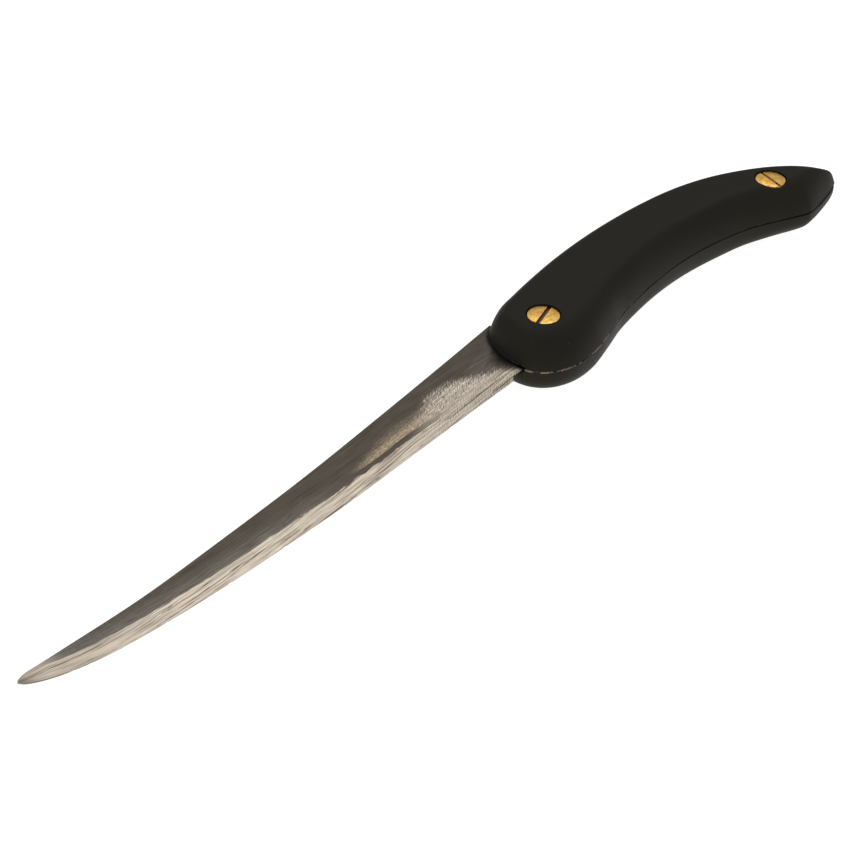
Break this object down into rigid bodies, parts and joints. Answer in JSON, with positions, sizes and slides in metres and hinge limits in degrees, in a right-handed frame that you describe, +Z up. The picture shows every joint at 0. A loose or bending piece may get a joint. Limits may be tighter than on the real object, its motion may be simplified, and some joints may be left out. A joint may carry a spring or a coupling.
{
  "type": "boning knife",
  "caption": "Curved narrow boning knife with a hand-contoured black plastic handle on a hidden tang, held by slotted brass screws.",
  "frame": {"origin": "on the flat underside of the lower handle scale, midway between the two screws", "axes": "+X towards the blade tip, +Y towards the cutting edge, +Z up through the handle's thickness, with the knife lying on its side"},
  "size_m": [0.266, 0.0306, 0.015],
  "materials": {
    "blade_steel": "satin flats with a brighter ground bevel",
    "handle_plastic": "worn satin",
    "brass": "tarnished, flat ground",
    "bedding": "dull, dried film"
  },
  "bodies": {
    "knife": {"blade": "blade_steel", "upper_scale": "handle_plastic", "lower_scale": "handle_plastic", "seam_bedding": "bedding", "front_barrel_nut": "brass", "rear_barrel_nut": "brass"},
    "front_screw": {"front_screw": "brass"},
    "rear_screw": {"rear_screw": "brass"}
  },
  "joints": [
    {"name": "front_screw_turn", "type": "hinge", "parent": "knife", "child": "front_screw", "pos_m": [0.04415, 0.0086, 0.0147], "axis": [0, 0, 1], "range_deg": [0, 180]},
    {"name": "rear_screw_turn", "type": "hinge", "parent": "knife", "child": "rear_screw", "pos_m": [-0.04415, 0.0086, 0.0147], "axis": [0, 0, 1], "range_deg": [0, 180]}
  ]
}
